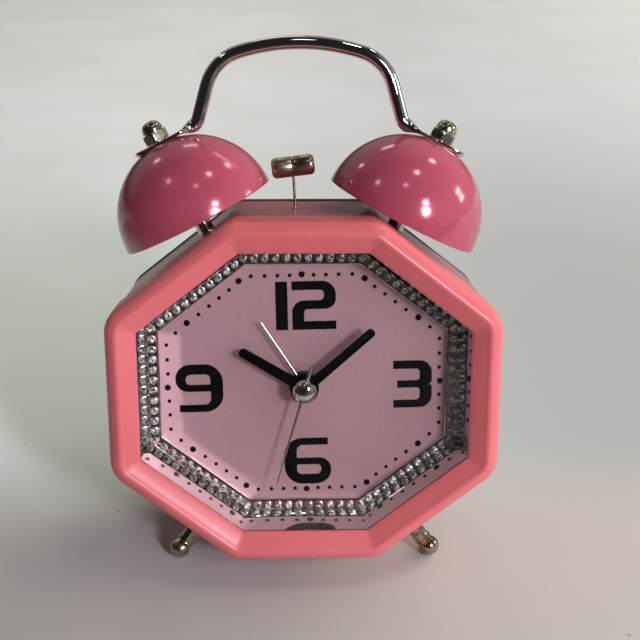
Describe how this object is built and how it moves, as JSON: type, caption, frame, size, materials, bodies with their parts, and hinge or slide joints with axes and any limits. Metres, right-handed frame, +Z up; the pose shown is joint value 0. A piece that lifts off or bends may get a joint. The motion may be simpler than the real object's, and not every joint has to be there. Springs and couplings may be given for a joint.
{
  "type": "twin bell alarm clock",
  "caption": "Octagonal battery alarm clock on ball feet, with domed bells, a bar handle, a swinging hammer, hands on a numbered dial and setting knobs behind.",
  "frame": {"origin": "bottom centre of the bounding box, on the surface that the clock stands on", "axes": "+Z up, the dial faces -Y and leans back by 11.9 degrees, +X to the right of someone who reads the dial"},
  "size_m": [0.1156, 0.0804, 0.1554],
  "materials": {
    "pink_plastic": "gloss coral pink moulding",
    "pink_enamel": "gloss pink enamel",
    "clear_plastic": "clear polished pane",
    "plated_plastic": "vacuum plated mirror",
    "crystal": "faceted clear stones in plated cups",
    "dial_sheet": "satin lilac pink printed sheet",
    "black_ink": "satin black print",
    "black_metal": "satin black",
    "bright_metal": "polished",
    "nickel": "polished nickel plate",
    "steel": "plain steel",
    "brass": "plain brass",
    "white_plastic": "plain moulded",
    "black_plastic": "fine satin texture",
    "board": "green solder mask",
    "copper": "enamelled copper winding",
    "cell": "plain sleeve, no print"
  },
  "bodies": {
    "clock_body": {"front_bezel": "pink_plastic", "front_lens": "clear_plastic", "reflector_ring": "plated_plastic", "crystal_studs": "crystal", "dial_plate": "dial_sheet", "dial_print": "black_ink", "inner_frame": "white_plastic", "bezel_screws": "steel", "movement_front": "black_plastic", "movement_rear": "black_plastic", "stator": "steel", "coil": "copper", "circuit_board": "board", "quartz_crystal": "bright_metal", "case_shell": "pink_enamel", "rear_cover": "black_plastic", "cover_screws": "steel", "battery": "cell", "battery_contacts": "bright_metal", "switch_housing": "white_plastic", "left_bell": "pink_enamel", "right_bell": "pink_enamel", "bell_posts": "bright_metal", "bell_studs": "steel", "stud_nuts": "steel", "dome_nuts": "nickel", "handle": "bright_metal", "left_foot": "nickel", "right_foot": "nickel", "foot_screws": "steel", "hammer_bracket": "steel", "hammer_pivot_pin": "steel", "gear_axle": "steel", "bracket_screws": "steel", "bell_motor": "bright_metal"},
    "alarm_indicator": {"alarm_wheel": "white_plastic", "alarm_hand": "bright_metal"},
    "alarm_setter": {"alarm_stem": "white_plastic", "alarm_set_knob": "black_plastic"},
    "hour_indicator": {"hour_wheel": "white_plastic", "hour_hand": "black_metal"},
    "minute_indicator": {"minute_arbor": "brass", "minute_hand": "black_metal"},
    "time_setter": {"motion_wheel": "white_plastic", "time_set_knob": "black_plastic"},
    "centre_drive": {"centre_wheel": "white_plastic"},
    "seconds_indicator": {"second_wheel": "white_plastic", "second_hand": "black_metal", "center_cap": "bright_metal"},
    "third_drive": {"third_wheel": "white_plastic"},
    "step_drive": {"step_wheel": "white_plastic"},
    "step_rotor": {"rotor": "white_plastic"},
    "hammer": {"hammer_head": "nickel", "hammer_wire": "steel", "hammer_lever": "white_plastic"},
    "crank": {"crank_gear": "white_plastic"},
    "motor_shaft": {"motor_pinion": "brass"},
    "alarm_slider": {"alarm_switch": "black_plastic"},
    "battery_cover": {"battery_door": "black_plastic"}
  },
  "joints": [
    {"name": "second_hand_spin", "type": "hinge", "parent": "clock_body", "child": "seconds_indicator", "pos_m": [0, -0.01432, 0.0586], "axis": [0, 0.9785, -0.2065], "continuous": true},
    {"name": "third_wheel_spin", "type": "hinge", "parent": "clock_body", "child": "third_drive", "pos_m": [0.0054, -0.01238, 0.06775], "axis": [0, 0.9785, -0.2065], "continuous": true},
    {"name": "centre_wheel_spin", "type": "hinge", "parent": "clock_body", "child": "centre_drive", "pos_m": [0, -0.01432, 0.0586], "axis": [0, 0.9785, -0.2065], "continuous": true},
    {"name": "step_wheel_spin", "type": "hinge", "parent": "clock_body", "child": "step_drive", "pos_m": [0.0048, -0.01603, 0.05047], "axis": [0, 0.9785, -0.2065], "continuous": true},
    {"name": "rotor_spin", "type": "hinge", "parent": "clock_body", "child": "step_rotor", "pos_m": [-0.00347, -0.01662, 0.04768], "axis": [0, 0.9785, -0.2065], "continuous": true},
    {"name": "minute_hand_spin", "type": "hinge", "parent": "clock_body", "child": "minute_indicator", "pos_m": [0, -0.01432, 0.0586], "axis": [0, 0.9785, -0.2065], "continuous": true},
    {"name": "time_knob_turn", "type": "hinge", "parent": "clock_body", "child": "time_setter", "pos_m": [-0.012, -0.01432, 0.0586], "axis": [0, 0.9785, -0.2065], "continuous": true},
    {"name": "hour_hand_spin", "type": "hinge", "parent": "clock_body", "child": "hour_indicator", "pos_m": [0, -0.01432, 0.0586], "axis": [0, 0.9785, -0.2065], "continuous": true},
    {"name": "alarm_hand_spin", "type": "hinge", "parent": "clock_body", "child": "alarm_indicator", "pos_m": [0, -0.01432, 0.0586], "axis": [0, 0.9785, -0.2065], "continuous": true},
    {"name": "alarm_knob_turn", "type": "hinge", "parent": "clock_body", "child": "alarm_setter", "pos_m": [0.014, -0.01432, 0.0586], "axis": [0, 0.9785, -0.2065], "continuous": true},
    {"name": "hammer_swing", "type": "hinge", "parent": "clock_body", "child": "hammer", "pos_m": [-0.00185, -0.00647, 0.09578], "axis": [0, 0.9785, -0.2065], "range_deg": [-3, 12.4]},
    {"name": "crank_turn", "type": "hinge", "parent": "clock_body", "child": "crank", "pos_m": [-0.00185, -0.00874, 0.08502], "axis": [0, 0.9785, -0.2065], "continuous": true},
    {"name": "motor_turn", "type": "hinge", "parent": "clock_body", "child": "motor_shaft", "pos_m": [0.00781, -0.00821, 0.08755], "axis": [0, 0.9785, -0.2065], "continuous": true},
    {"name": "alarm_switch_slide", "type": "slide", "parent": "clock_body", "child": "alarm_slider", "axis": [1, 0, 0], "range_m": [0, 0.005]},
    {"name": "battery_door_slide", "type": "slide", "parent": "clock_body", "child": "battery_cover", "axis": [0, -0.2065, -0.9785], "range_m": [0, 0.007]}
  ],
  "couplings": [
    {"joint": "third_wheel_spin", "follows": "second_hand_spin", "ratio": -0.13333},
    {"joint": "centre_wheel_spin", "follows": "second_hand_spin", "ratio": 0.016667},
    {"joint": "step_wheel_spin", "follows": "second_hand_spin", "ratio": -5},
    {"joint": "rotor_spin", "follows": "second_hand_spin", "ratio": 30},
    {"joint": "time_knob_turn", "follows": "minute_hand_spin", "ratio": -0.33333},
    {"joint": "hour_hand_spin", "follows": "minute_hand_spin", "ratio": 0.083333},
    {"joint": "alarm_knob_turn", "follows": "alarm_hand_spin", "ratio": -2.5},
    {"joint": "motor_turn", "follows": "crank_turn", "ratio": -4}
  ]
}
